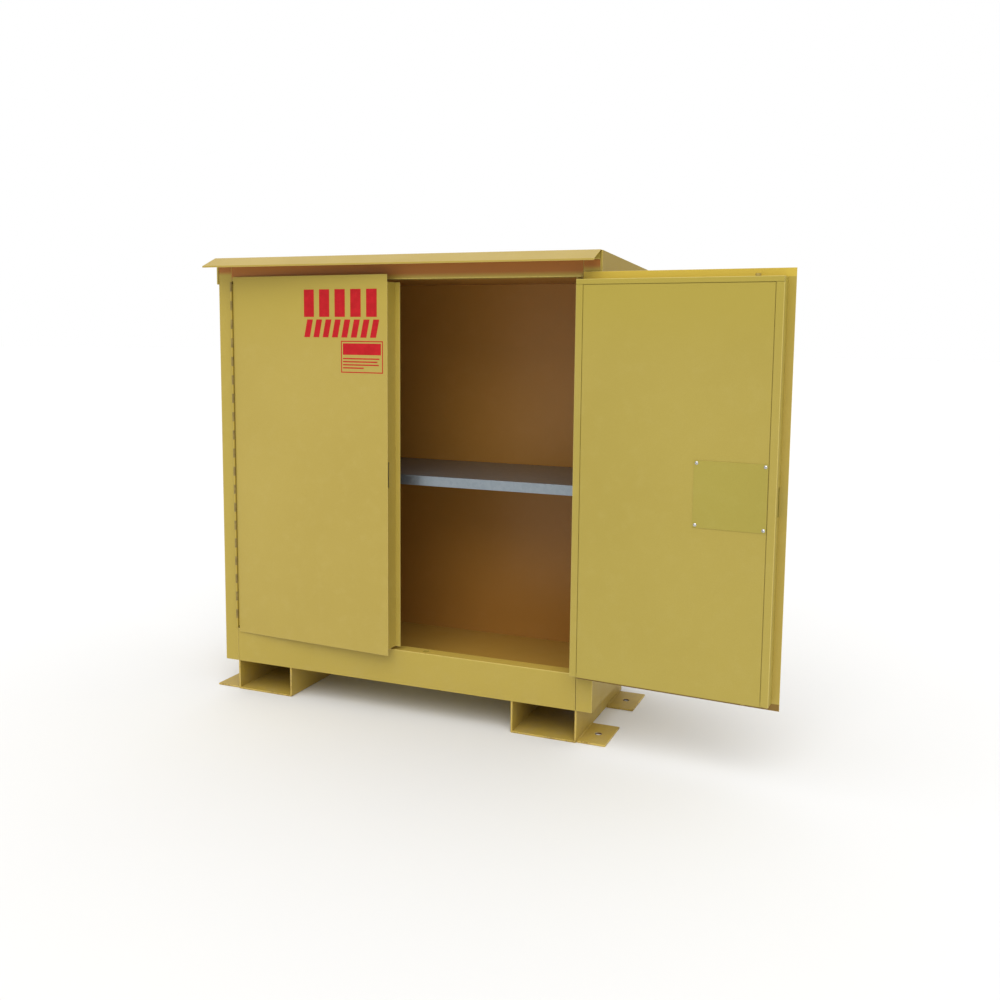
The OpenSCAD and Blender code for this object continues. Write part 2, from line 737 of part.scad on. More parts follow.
// The top rod: its link runs up beside the spindle and over to the rod.
module top_rod() color(zinc) on_door(1) {
    arm_z0 = latch_z + 32;
    arm_z1 = latch_z + 45;
    low_z = latch_z - cam_r * sin(rest_angle) - 8;
    difference() {
        union() {
            block([latch_u + link_start, link_d0, low_z], [latch_u + link_end, link_d0 + link_t, arm_z1]);
            block([rod_u - rod_r, link_d0, arm_z0], [latch_u + link_start + eps, link_d0 + link_t, arm_z1]);
        }
        pin_slot(1);
    }
    translate([rod_u, rod_d, arm_z0]) cylinder(r = rod_r, h = pan_z1 + tip_proud - arm_z0);
}

// The bottom rod: its link hangs from the other cam pin.
module bottom_rod() color(zinc) on_door(1) {
    high_z = latch_z + cam_r * sin(rest_angle) + 8;
    low_z = latch_z - 60;
    rod_z1 = latch_z - 38;
    tip_z = pan_z0 - 5.9;
    difference() {
        block([rod_u - rod_r, link_d0, low_z], [latch_u - link_start, link_d0 + link_t, high_z]);
        pin_slot(-1);
    }
    translate([rod_u, rod_d, tip_z]) cylinder(r = rod_r, h = rod_z1 - tip_z);
}

// The key plug in the lever's hub, with its keyway.
module lock_plug() color(chrome) on_door(1) difference() {
    keyway_half_w = 0.9;
    keyway_half_h = 4.5;
    round_d(latch_u, latch_z, plug_r, hub_d0 - 0.6, hub_d0 + plug_depth - 0.3);
    block([latch_u - keyway_half_w, hub_d0 - 2, latch_z - keyway_half_h],
        [latch_u + keyway_half_w, hub_d0 + 5, latch_z + keyway_half_h]);
}

// ---------------------------------------------------------------- nodes

side_panel(-1);  // side_panel_left
side_panel(1);  // side_panel_right
back_panel();
bottom_panel();
top_panel();
liner_side(-1);  // liner_left
liner_side(1);  // liner_right
liner_back();
liner_floor();
liner_ceiling();
frame_stile(-1);  // frame_stile_left
frame_stile(1);  // frame_stile_right
frame_header();
frame_sill();
roof_sheet();
roof_rail();
roof_skirt(-1);  // roof_skirt_left
roof_skirt(1);  // roof_skirt_right
fork_channel(-1);  // fork_channel_left
fork_channel(1);  // fork_channel_right
foot_plate(-1, -1);  // foot_plate_front_left
foot_plate(1, -1);  // foot_plate_front_right
foot_plate(-1, 1);  // foot_plate_rear_left
foot_plate(1, 1);  // foot_plate_rear_right
shelf();
shelf_brackets();
rod_keepers();
ground_stud();
vent_collar(-1);  // vent_collar_left
vent_collar(1);  // vent_collar_right
vent_screen(-1);  // vent_screen_left
vent_screen(1);  // vent_screen_right
vent_cap(-1);  // vent_cap_left
vent_cap(1);  // vent_cap_right
hinge_frame_leaf(-1);  // hinge_frame_leaf_left
hinge_frame_leaf(1);  // hinge_frame_leaf_right
hinge_pin(-1);  // hinge_pin_left
hinge_pin(1);  // hinge_pin_right
left_door_skin();
left_door_frame();
left_door_liner();
left_door_astragal();
left_door_strike();
hinge_door_leaf(-1);  // left_door_hinge_leaf
right_door_skin();
right_door_frame();
right_door_liner();
hinge_door_leaf(1);  // right_door_hinge_leaf
latch_cover_plate();
cover_screws();
latch_bracket();
rod_guides();
handle_escutcheon();
handle_lever();
latch_spindle();
latch_cam();
latch_tongue();
lock_plug();
top_rod();
bottom_rod();
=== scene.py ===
# %% [markdown]
# Light and shade are also painted into the enamel in some places, as painted shade and highlights.
# # An outdoor cabinet for flammable liquids
#
# The cabinet is a folded steel box on a fork-lift base, painted safety yellow inside and out. Its
# sheet-metal frame, doors and latch come from the CAD model and stay where they are. What is made
# here is what paint, folding and welding do to it: soft folded edges, weld beads, orange peel, a
# little wear, dust near the floor and red markings on the doors.
#
# Each step says what the piece or finish is, how it could be made, and why this way was chosen.

# %% Load the frame
import json
import math

import bmesh
import bpy
from mathutils import Matrix, Vector

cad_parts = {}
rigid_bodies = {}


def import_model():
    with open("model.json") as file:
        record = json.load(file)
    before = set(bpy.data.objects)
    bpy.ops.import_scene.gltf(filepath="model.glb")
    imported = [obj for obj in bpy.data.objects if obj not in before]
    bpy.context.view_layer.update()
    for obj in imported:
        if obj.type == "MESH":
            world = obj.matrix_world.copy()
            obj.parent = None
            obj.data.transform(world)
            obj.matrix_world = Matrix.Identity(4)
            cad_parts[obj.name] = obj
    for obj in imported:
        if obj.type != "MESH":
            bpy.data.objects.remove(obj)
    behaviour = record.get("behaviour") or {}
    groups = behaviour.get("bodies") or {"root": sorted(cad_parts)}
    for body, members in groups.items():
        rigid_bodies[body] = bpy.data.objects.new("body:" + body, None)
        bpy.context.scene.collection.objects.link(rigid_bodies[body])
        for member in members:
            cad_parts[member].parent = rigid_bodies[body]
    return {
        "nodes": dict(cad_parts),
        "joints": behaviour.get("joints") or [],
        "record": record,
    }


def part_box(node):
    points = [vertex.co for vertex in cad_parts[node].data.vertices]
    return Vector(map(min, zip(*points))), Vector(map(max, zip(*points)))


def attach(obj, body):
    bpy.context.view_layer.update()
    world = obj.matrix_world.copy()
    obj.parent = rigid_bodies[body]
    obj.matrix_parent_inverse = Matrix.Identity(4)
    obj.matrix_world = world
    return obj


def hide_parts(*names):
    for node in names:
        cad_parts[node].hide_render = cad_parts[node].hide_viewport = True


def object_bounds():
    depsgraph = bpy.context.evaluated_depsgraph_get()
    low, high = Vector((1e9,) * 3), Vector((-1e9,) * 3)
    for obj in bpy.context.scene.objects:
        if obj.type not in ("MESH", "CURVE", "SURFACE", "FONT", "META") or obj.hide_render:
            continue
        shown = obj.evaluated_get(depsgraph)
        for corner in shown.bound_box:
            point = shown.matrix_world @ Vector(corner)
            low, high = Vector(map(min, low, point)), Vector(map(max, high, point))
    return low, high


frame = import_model()
cad_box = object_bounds()
nodes = frame["nodes"]

# %% [markdown]
# ## Camera
#
# A camera can be aimed with a Track To constraint or by a matrix. The matrix is used, because the
# view is a few degrees off level and the tilt has to stay exact. It is built from a heading, a
# downward pitch and a slight roll. The lens is shifted a little, as on a view camera, so that the
# cabinet stands near the middle of the frame without more tilt.

# %% Camera
CAMERA_AT = Vector((1.2501, -2.5614, 1.0043))
HEADING = math.radians(21.84)
PITCH_DOWN = math.radians(6.378)
ROLL = math.radians(0.582)
LENS_MM = 36.86
SHIFT_X = -0.0045
SHIFT_Y = -0.0471


def camera_axes(heading, pitch, roll):
    """The camera's right, up and backward directions."""
    level = math.cos(pitch)
    forward = Vector((-math.sin(heading) * level, math.cos(heading) * level, -math.sin(pitch)))
    level_right = Vector((math.cos(heading), math.sin(heading), 0))
    level_up = level_right.cross(forward)
    right = math.cos(roll) * level_right + math.sin(roll) * level_up
    up = math.cos(roll) * level_up - math.sin(roll) * level_right
    return right, up, -forward


camera_data = bpy.data.cameras.new("camera")
camera_data.lens = LENS_MM
camera_data.shift_x = SHIFT_X
camera_data.shift_y = SHIFT_Y
camera = bpy.data.objects.new("camera", camera_data)
bpy.context.scene.collection.objects.link(camera)
axes = Matrix(camera_axes(HEADING, PITCH_DOWN, ROLL)).transposed()
camera.matrix_world = Matrix.Translation(CAMERA_AT) @ axes.to_4x4()
bpy.context.scene.camera = camera
print("camera at", [round(x, 3) for x in camera.location])

# %% [markdown]
# ## Light and floor
#
# An outdoor object is lit by the whole sky: bright overhead, dimmer towards the horizon, and white
# again where the pale floor throws it back. Lamps alone can't give that, and an image of a sky
# would be a file to carry along, so a ramp on the direction's height makes the sky. One broad sun,
# high in front, draws the eave's soft shadow over the header, and painted shade in the header's
# enamel deepens it. The camera itself sees plain white behind the object. The Standard view
# transform keeps the paint's colour as it was mixed.

# %% Light and floor
SKY_HORIZON = 0.34
SKY_ZENITH = 1.2
ZENITH_FROM = 0.8
BACKDROP = 1.0
SUN_STRENGTH = 1.25
SUN_HEIGHT = math.radians(47)
SUN_SIDE = math.radians(16)
SUN_SPREAD = math.radians(50)
FLOOR_PALE = 0.80
FLOOR_HALF = 60
FLOOR_GAP = 0.0002
bpy.context.scene.view_settings.view_transform = "Standard"


def make_sky():
    """A white world for the camera and a grey sky, brighter overhead, for the light."""
    world = bpy.data.worlds.new("soft_sky")
    bpy.context.scene.world = world
    world.use_nodes = True
    tree = world.node_tree
    direction = tree.nodes.new("ShaderNodeTexCoord")
    height = tree.nodes.new("ShaderNodeSeparateXYZ")
    ramp = tree.nodes.new("ShaderNodeMapRange")
    ramp.inputs["From Max"].default_value = ZENITH_FROM
    ramp.inputs["To Min"].default_value = SKY_HORIZON
    ramp.inputs["To Max"].default_value = SKY_ZENITH
    seen = tree.nodes.new("ShaderNodeLightPath")
    pick = tree.nodes.new("ShaderNodeMix")
    pick.inputs["B"].default_value = BACKDROP
    tree.links.new(direction.outputs["Generated"], height.inputs[0])
    tree.links.new(height.outputs["Z"], ramp.inputs["Value"])
    tree.links.new(seen.outputs["Is Camera Ray"], pick.inputs["Factor"])
    tree.links.new(ramp.outputs["Result"], pick.inputs["A"])
    background = tree.nodes["Background"]
    background.inputs["Color"].default_value = (1, 1, 1, 1)
    tree.links.new(pick.outputs["Result"], background.inputs["Strength"])


def make_sun():
    """A broad sun in front of the object, high and a little to the right."""
    data = bpy.data.lights.new("broad_sun", "SUN")
    data.energy = SUN_STRENGTH
    data.angle = SUN_SPREAD
    sun = bpy.data.objects.new("broad_sun", data)
    bpy.context.scene.collection.objects.link(sun)
    level = math.cos(SUN_HEIGHT)
    up = math.sin(SUN_HEIGHT)
    towards = Vector((level * math.sin(SUN_SIDE), -level * math.cos(SUN_SIDE), up))
    sun.rotation_euler = (-towards).to_track_quat("-Z", "Y").to_euler()


make_sky()
make_sun()
floor_mesh = bpy.data.meshes.new("floor")
signs = [(-1, -1), (1, -1), (1, 1), (-1, 1)]
corners = [(x * FLOOR_HALF, y * FLOOR_HALF, 0) for x, y in signs]
floor_mesh.from_pydata(corners, [], [(0, 1, 2, 3)])
floor = bpy.data.objects.new("floor", floor_mesh)
bpy.context.scene.collection.objects.link(floor)
floor.location.z = cad_box[0].z - FLOOR_GAP
print("floor", 2 * FLOOR_HALF, "m across, sun", round(math.degrees(SUN_HEIGHT)), "degrees high")

# %% [markdown]
# ## Shader maths as expressions
#
# A material's nodes can be added one by one, but a sum of masks then takes many lines. The class
# below wraps a node's output, so `1 - mask * noise` adds its own Math nodes and reads like the
# formula it is. Every other node comes from one method, `node`, which sets the node's settings
# first and then its inputs.

# %% A wire that does arithmetic
class Wire:
    """One output of a shader node. Arithmetic on it adds Math nodes."""

    def __init__(self, tree, socket=None):
        self.tree = tree
        self.socket = socket

    def node(self, kind, settings=None, inputs=None, output=0):
        """Adds any shader node: its settings first, then the numbers or wires it takes."""
        made = self.tree.nodes.new("ShaderNode" + kind)
        for name, value in (settings or {}).items():
            setattr(made, name, value)
        for key, value in (inputs or {}).items():
            if isinstance(value, Wire):
                self.tree.links.new(value.socket, made.inputs[key])
            else:
                made.inputs[key].default_value = value
        return Wire(self.tree, made.outputs[output])

    def math(self, operation, first, second=0.0):
        """Adds one Math node."""
        return self.node("Math", {"operation": operation}, {0: first, 1: second})

    def __add__(self, other):
        return self.math("ADD", self, other)

    def __sub__(self, other):
        return self.math("SUBTRACT", self, other)

    def __rsub__(self, other):
        return self.math("SUBTRACT", other, self)

    def __mul__(self, other):
        return self.math("MULTIPLY", self, other)

    __radd__ = __add__
    __rmul__ = __mul__

    def step(self, low, high):
        """0 below low, 1 above high, and a smooth rise between."""
        ranges = {"interpolation_type": "SMOOTHSTEP"}
        return self.node("MapRange", ranges, {"Value": self, "From Min": low, "From Max": high})


def mix(factor, first, second):
    """A colour between two others."""
    wire = next(w for w in (factor, first, second) if isinstance(w, Wire))
    return wire.node("Mix", {"data_type": "RGBA"}, {0: factor, 6: first, 7: second}, output=2)


def new_material(name):
    """A material with a Principled shader, and a wire to start its maths from."""
    material = bpy.data.materials.new(name)
    material.use_nodes = True
    shader = material.node_tree.nodes["Principled BSDF"]
    return material, shader, Wire(material.node_tree)


def feed(shader, name, wire):
    """Links a wire to a shader's input."""
    wire.tree.links.new(wire.socket, shader.inputs[name])


def noise(start, place, scale, detail, roughness):
    """A grey noise of so many grains to the metre."""
    inputs = {"Vector": place, "Scale": scale, "Detail": detail, "Roughness": roughness}
    return start.node("TexNoise", {}, inputs)


print("a wire adds, subtracts and multiplies by Math nodes")

# %% [markdown]
# ## Safety yellow enamel
#
# The paint is a sprayed alkyd enamel. Up close it has orange peel, grains about 3 mm wide and a few
# hundredths of a millimetre high, and its gloss changes a little where hands and rags have been.
# An image texture could hold that, but a noise at the right scale never repeats and has no seams
# where two panels meet. Folded edges carry an `edge` value from the mesh, so the wear sits only on
# them, as it does where forks and boots touch. The edges are also paler all along: a painted
# highlight, as if they caught the sky.
#
# Light and shade are also painted into the enamel by place: painted shade on the sides that face
# left and right, a warm painted shade on the header and the stiles' tops under the eave, a slight
# painted shade over the doors' tops, a painted highlight on the sill's top, and on the open door's
# lap painted light above its box and painted shade below it. A zone is such a place, by height or by
# which way the sheet faces, with a tint that multiplies the paint's colour there. Painting the tints
# on vertices would need a finer mesh, so the zones are functions of position.

# %% Colours of the enamel
YELLOW = (0.450, 0.338, 0.060, 1)
STEEL_BARE = (0.20, 0.19, 0.18, 1)
RUST = (0.16, 0.065, 0.025, 1)
DUST = (0.31, 0.235, 0.135, 1)
PEEL_GRAINS = 300
PEEL_HEIGHT = 0.00006
DUST_HEIGHT = 0.20
CRISP = 0.001

# Painted shade: a warm, darker tint for the header and the stiles' tops under the eave.
HEADER_SHADE_TINT = (0.86, 0.42, 0.40)
# Painted shade: a duller tint for the sides that face left and right.
SIDE_SHADE_TINT = (0.82, 0.75, 0.45)
# Painted highlight: a paler tint for the sill's top.
SILL_TOP_LIGHT_TINT = (1.30, 1.22, 1.2)
# Painted light: a paler tint for the open door's lap above its box.
LAP_TOP_LIGHT_TINT = (1.38, 1.34, 0.84)
# Painted shade: a dark brown tint for the open door's lap below its box.
LAP_BOTTOM_SHADE_TINT = (0.50, 0.38, 0.28)
# Slight painted shade: a tint with less blue for the doors' tops under the eave.
DOOR_TOP_SHADE_TINT = (0.98, 0.98, 0.78)


# %% Zones of the enamel
def tinted(colour, red, green, blue):
    """A colour with each channel multiplied."""
    return (colour[0] * red, colour[1] * green, colour[2] * blue, 1)


def parts_of(start, vector):
    """The x, y and z of a vector, as three wires."""
    return {
        axis: start.node("SeparateXYZ", {}, {0: vector}, output=k)
        for k, axis in enumerate("xyz")
    }


def above(low, soft):
    """A zone that starts at a height and is full a little higher up."""
    return lambda at, facing: at["z"].step(low, low + soft)


def looking_sideways(at, facing):
    """A zone of all that faces left or right."""
    return facing["x"].math("ABSOLUTE", facing["x"]).step(0.6, 0.9)


def looking_up(at, facing):
    """A zone of all that faces up."""
    return facing["z"].step(0.6, 0.9)


def looking_forward(facing):
    """Where the sheet faces the front of the cabinet, as the open door's inner side does."""
    return (0.0 - facing["y"]).step(0.8, 0.95)


def lap_above(low):
    """The inner side of a door's lap, above a height."""
    return lambda at, facing: looking_forward(facing) * at["z"].step(low, low + CRISP)


def lap_below(high):
    """The inner side of a door's lap, below a height."""
    return lambda at, facing: looking_forward(facing) * (1 - at["z"].step(high - CRISP, high))


# %% The enamel itself
def enamel(name, base=YELLOW, wear=0.25, grime=0.3, gloss=0.40, zones=()):
    """Sprayed enamel, with a painted highlight on its edges. wear is how bare its edges are, grime
    how dusty it is near the floor. zones are pairs of a place, as one of the functions above gives
    it, and the tint there, which paints light or shade into that place."""
    material, shader, start = new_material(name)
    place = start.node("TexCoord", output=3)
    at = parts_of(start, place)
    facing = parts_of(start, start.node("TexCoord", output=1))

    cloud = noise(start, place, 2.2, 3, 0.55)
    mottle = noise(start, place, 26, 4, 0.6)
    grain = noise(start, place, 520, 2, 0.5)
    faded = tinted(base, 0.965, 0.955, 0.90)
    colour = mix(cloud.step(0.3, 0.7), faded, tinted(base, 1.02, 1.02, 1.03))
    colour = mix(mottle.step(0.45, 0.8) * 0.5, colour, tinted(base, 1.05, 1.06, 1.25))
    colour = mix(grain.step(0.35, 0.65) * 0.22, colour, tinted(base, 0.86, 0.84, 0.75))

    # Each zone paints light or shade: its tint multiplies the colour where it lies.
    for zone, tint in zones:
        colour = mix(zone(at, facing), colour, tinted(base, *tint))
    chips = noise(start, place, 190, 5, 0.65)
    patches = noise(start, place, 11, 2, 0.5)
    edge = start.node("Attribute", {"attribute_name": "edge"}, output=2)
    bare = start.node("Attribute", {"attribute_name": "bare"}, output=2)
    # Painted highlight: the edges are paler all along, as if they caught the sky.
    edge_highlight = edge * (chips.step(0.2, 0.6) * 0.35 + 0.5)
    worn = edge * (chips * 0.7 + patches * 0.6).step(0.78 - 0.17 * wear, 0.86 - 0.17 * wear) * wear
    colour = mix(edge_highlight, colour, tinted(base, 1.42, 1.48, 2.2))
    colour = mix(worn, colour, mix(patches.step(0.42, 0.54), STEEL_BARE, RUST))
    # Bolt holes' walls: dark bare steel and rust, which also paints the shade inside the holes.
    colour = mix(bare, colour, mix(chips.step(0.4, 0.6), STEEL_BARE, RUST))

    low = 1 - at["z"].step(0.0, DUST_HEIGHT)
    settled = facing["z"].step(0.6, 0.95) * noise(start, place, 7, 4, 0.6).step(0.35, 0.8)
    film = (low * mottle.step(0.35, 0.75) * 0.6 + settled * 0.4) * grime
    colour = mix(film, colour, DUST)

    smudge = noise(start, place, 5.5, 5, 0.7).step(0.45, 0.75)
    roughness = gloss + smudge * 0.08 + grain * 0.05 + film * 0.4 + worn * 0.1 + bare * 0.2
    peel = noise(start, place, PEEL_GRAINS, 1.5, 0.5) - chips * worn * 2.0
    bump = start.node("Bump", {}, {"Strength": 0.6, "Distance": PEEL_HEIGHT, "Height": peel})
    feed(shader, "Base Color", colour)
    feed(shader, "Roughness", roughness)
    feed(shader, "Normal", bump)
    feed(shader, "Metallic", worn * 0.8)
    shader.inputs["Specular IOR Level"].default_value = 0.34
    shader.inputs["Coat Weight"].default_value = 0.05
    shader.inputs["Coat Roughness"].default_value = 0.22
    return material


# %% Twelve enamels
EAVE_YELLOW = tinted(YELLOW, 0.97, 0.93, 0.92)
DOOR_YELLOW = tinted(YELLOW, 1.0, 1.0, 1.12)
# Painted shade: the open door's inner face is a darker copy of the yellow.
INNER_FACE_SHADE_YELLOW = tinted(YELLOW, 0.93, 0.96, 1.0)
COVER_YELLOW = tinted(YELLOW, 0.84, 0.92, 0.84)
# Painted shade: the inside's yellow is an orange, darker copy of the paint; its floor's is paler,
# with painted light.
INSIDE_SHADE_YELLOW = tinted(YELLOW, 0.99, 0.61, 0.60)
INSIDE_FLOOR_LIGHT_AND_SHADE = tinted(YELLOW, 1.10, 0.84, 0.80)
BASE_YELLOW = tinted(YELLOW, 1.06, 1.0, 0.98)

header_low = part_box("frame_header")[0].z
box_low, box_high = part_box("right_door_frame")
# Zones of painted light and shade, each with its tint: shade on the sides and under the eave.
side_shade_zone = (looking_sideways, SIDE_SHADE_TINT)
stile_top_shade = (above(header_low + 0.014, 0.014), HEADER_SHADE_TINT)
header_top_shade = (above(header_low + 0.001, 0.015), HEADER_SHADE_TINT)
# Painted shade over the doors' tops, under the eave.
door_top_shade = (above(0.92, 0.22), DOOR_TOP_SHADE_TINT)
lap_light_and_shade = [(lap_above(box_high.z), LAP_TOP_LIGHT_TINT), (lap_below(box_low.z), LAP_BOTTOM_SHADE_TINT)]

paint_shell = enamel("enamel_shell", grime=0.25, zones=[side_shade_zone])
paint_stile = enamel("enamel_stile", grime=0.25, zones=[side_shade_zone, stile_top_shade])
paint_header = enamel("enamel_header", zones=[header_top_shade])
paint_eave = enamel("enamel_eave", EAVE_YELLOW)
# The sill's top gets the painted highlight.
paint_sill = enamel("enamel_sill", grime=0.15, zones=[(looking_up, SILL_TOP_LIGHT_TINT)])
paint_doors = enamel("enamel_doors", DOOR_YELLOW, 0.2, 0.08, zones=[door_top_shade])
# The right door's skin gets painted light and shade on its lap.
paint_right_skin = enamel("enamel_right_skin", DOOR_YELLOW, 0.2, 0.08, zones=[door_top_shade] + lap_light_and_shade)
paint_inner_face = enamel("enamel_inner_face", INNER_FACE_SHADE_YELLOW, 0.2, 0.08, zones=[door_top_shade])
paint_cover = enamel("enamel_cover", COVER_YELLOW, 0.3, 0.08)
paint_inside = enamel("enamel_inside", INSIDE_SHADE_YELLOW, 0.1, 0.12)
paint_inside_floor = enamel("enamel_inside_floor", INSIDE_FLOOR_LIGHT_AND_SHADE, 0.1, 0.1)
paint_base = enamel("enamel_base", BASE_YELLOW, wear=0.7, grime=0.45, gloss=0.46)
mixed = [m for m in bpy.data.materials if m.name.startswith("enamel_")]
print(len(mixed), "enamels, from the doors' clean one to the base's worn one")

# %% [markdown]
# ## Galvanised sheet
#
# The shelf is hot-dip galvanised. Zinc freezes in flakes about a centimetre wide, called spangle,
# and each flake reflects at its own angle. Voronoi cells have the flakes' shape, and a random grey
# for each cell moves the colour and the roughness together. A little warp keeps the flakes' borders
# from being straight.

# %% Galvanised sheet
FLAKE_GRAINS = 120
WARP_GRAINS = 60
WARP = 0.006


def galvanised(name):
    """Zinc spangle: small flakes, each with its own grey and its own gloss."""
    material, shader, start = new_material(name)
    place = start.node("TexCoord", output=3)
    drift = start.node("TexNoise", {}, {"Vector": place, "Scale": WARP_GRAINS}, output=1)
    moved = {0: drift, 1: (WARP, WARP, WARP), 2: place}
    warped = start.node("VectorMath", {"operation": "MULTIPLY_ADD"}, moved)
    flake = start.node("TexVoronoi", {}, {"Vector": warped, "Scale": FLAKE_GRAINS}, output=1)
    grey = start.node("SeparateColor", {}, {0: flake}, output=0)
    cloud = noise(start, place, 7, 3, 0.6)
    blend = grey * 0.5 + cloud * 0.5
    feed(shader, "Base Color", mix(blend, (0.235, 0.275, 0.305, 1), (0.315, 0.355, 0.385, 1)))
    feed(shader, "Roughness", grey * 0.10 + 0.25 + cloud * 0.10)
    shader.inputs["Metallic"].default_value = 0.8
    return material


zinc_sheet = galvanised("galvanised_shelf")
print("one flake is about", round(1000 / FLAKE_GRAINS), "mm wide")

# %% [markdown]
# ## Small metals, film and the floor
#
# Plated steel, brass and chrome differ in their two close tones and in how rough the polishing left
# them, so one function mixes them all. The hinges' door leaves and pins are steel in a dark yellow:
# painted shade, as in the hinge's gap. The rods are zinc passivated yellow. The black powder coat and
# the red film aren't metal but have the same fine scratches. The floor is a pale, dull screed.

# %% Small metals, film and the floor
def plated(name, dark, light, roughness, metallic=1.0, brush=260):
    """A plated, turned or coated surface: two close tones, fine scratches and small stains."""
    material, shader, start = new_material(name)
    place = start.node("TexCoord", output=3)
    stain = noise(start, place, 60, 4, 0.6)
    scratches = noise(start, place, brush, 3, 0.7)
    feed(shader, "Base Color", mix(stain.step(0.3, 0.75), dark, light))
    feed(shader, "Roughness", stain * 0.14 + scratches * 0.1 + (roughness - 0.12))
    bump = start.node("Bump", {}, {"Strength": 0.3, "Distance": 0.00003, "Height": scratches})
    feed(shader, "Normal", bump)
    shader.inputs["Metallic"].default_value = metallic
    return material


TONES = {
    "zinc_plate": ((0.42, 0.42, 0.41, 1), (0.60, 0.60, 0.58, 1), 0.36),
    "zinc_yellow_chromate": ((0.40, 0.29, 0.07, 1), (0.50, 0.38, 0.10, 1), 0.40, 0.25),
    # Painted shade: the hinges' door leaves and pins, a dark yellow like the hinge gap's shadow.
    "oiled_hinge_steel": ((0.19, 0.13, 0.03, 1), (0.31, 0.225, 0.05, 1), 0.45, 0.1),
    "screw_steel": ((0.50, 0.50, 0.50, 1), (0.66, 0.66, 0.65, 1), 0.24),
    "chrome_plate": ((0.62, 0.62, 0.63, 1), (0.78, 0.78, 0.79, 1), 0.16),
    "brass_turned": ((0.48, 0.33, 0.12, 1), (0.66, 0.48, 0.20, 1), 0.34),
    "steel_screen": ((0.30, 0.30, 0.29, 1), (0.46, 0.46, 0.45, 1), 0.42),
    "powder_black": ((0.010, 0.010, 0.011, 1), (0.022, 0.022, 0.023, 1), 0.52, 0.0, 700),
    "red_vinyl": ((0.44, 0.006, 0.010, 1), (0.53, 0.009, 0.015, 1), 0.42, 0.0, 420),
}
METAL = {name: plated(name, *tones) for name, tones in TONES.items()}
red_vinyl = METAL["red_vinyl"]
red_vinyl.node_tree.nodes["Principled BSDF"].inputs["Specular IOR Level"].default_value = 0.2

floor_paint, floor_shader, floor_start = new_material("pale_floor")
floor_place = floor_start.node("TexCoord", output=3)
floor_cloud = noise(floor_start, floor_place, 1.4, 3, 0.5)
floor_light = (FLOOR_PALE + 0.01, FLOOR_PALE + 0.01, FLOOR_PALE + 0.005, 1)
floor_dark = (FLOOR_PALE - 0.01, FLOOR_PALE - 0.01, FLOOR_PALE - 0.01, 1)
feed(floor_shader, "Base Color", mix(floor_cloud, floor_dark, floor_light))
floor_shader.inputs["Roughness"].default_value = 0.8
floor.data.materials.append(floor_paint)
print(len(METAL), "small finishes:", ", ".join(METAL))

# %% [markdown]
# ## Folded and painted edges
#
# Real sheet metal has no sharp edge: a press brake folds it round a radius of a millimetre or two,
# and paint rounds the cut edges. A bevel modifier would round every edge of the triangulated CAD
# mesh, so a copy is cleaned up first: its triangles are merged into whole flat faces. Then the
# folds, which are the corners between two wide faces, get the brake's radius, and the cut edges
# get a small one. The new narrow faces carry an `edge` value that the enamel reads, for wear and for
# a painted highlight. Sheets that are really one folded piece are joined before that.
#
# The base is cut from thick plate, whose cut faces lose paint all over, so each of them counts as
# half an edge and carries half the edges' painted highlight. The walls of a bolt hole are scraped by
# the bolt and carry a `bare` value: dark bare steel and rust, which also paints the shade inside
# the hole.

# %% Pieces, their slots and their bodies
MM = 0.001
SLOT_OF = {row["node"]: row["material_slot"] for row in frame["record"]["subparts"]}
BODY_OF = {}
for body, members in frame["record"]["behaviour"]["bodies"].items():
    BODY_OF.update(dict.fromkeys(members, body))


def link(name, mesh, material, body):
    """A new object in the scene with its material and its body."""
    piece = bpy.data.objects.new(name, mesh)
    bpy.context.scene.collection.objects.link(piece)
    mesh.materials.clear()
    mesh.materials.append(material)
    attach(piece, body)
    return piece


def as_data(mesh, name):
    """A bmesh written to mesh data."""
    data = bpy.data.meshes.new(name)
    mesh.to_mesh(data)
    mesh.free()
    return data


def combined(first, second, operation):
    """Mesh data made from two others by a boolean."""
    base = bpy.data.objects.new("base", first)
    other = bpy.data.objects.new("other", second)
    bpy.context.scene.collection.objects.link(base)
    bpy.context.scene.collection.objects.link(other)
    boolean = base.modifiers.new("boolean", "BOOLEAN")
    boolean.operation = operation
    boolean.solver = "EXACT"
    boolean.object = other
    bpy.context.view_layer.update()
    evaluated = base.evaluated_get(bpy.context.evaluated_depsgraph_get())
    made = bpy.data.meshes.new_from_object(evaluated)
    bpy.data.objects.remove(base)
    bpy.data.objects.remove(other)
    return made


def united(members):
    """One mesh from CAD nodes that touch."""
    mesh = nodes[members[0]].data.copy()
    for member in members[1:]:
        mesh = combined(mesh, nodes[member].data.copy(), "UNION")
    return mesh


print(len(SLOT_OF), "nodes have a slot,", len(BODY_OF), "have a body")

# %% Which edges are folds and which are cuts
WIDE = 5 * MM
BORE_REACH = 10 * MM
CUT_FACE = 6 * MM
BIG_FACES_LEAD = 90
SAME_PLACE = 1e-6
FLAT_ANGLE = 0.5
FOLD_ANGLE = 20
CUT_ANGLE = 35
FOLD_STEPS = 4


def width(face):
    """How wide a face is across its narrow way."""
    return 2 * face.calc_area() / face.calc_perimeter()


def turning(edges, sharp):
    """The edges where two faces meet at more than a sharp angle."""
    angle = math.radians(sharp)
    return [e for e in edges if len(e.link_faces) == 2 and e.calc_face_angle(0) > angle]


def is_fold(edge):
    """Whether an edge is a long outer corner between two wide faces."""
    wide = all(width(face) > WIDE for face in edge.link_faces)
    return edge.is_convex and wide and edge.calc_length() > 2 * WIDE


def is_cut(edge, edge_layer):
    """Whether an edge has no rounded face beside it yet."""
    return not any(face[edge_layer] > 0.5 for face in edge.link_faces)


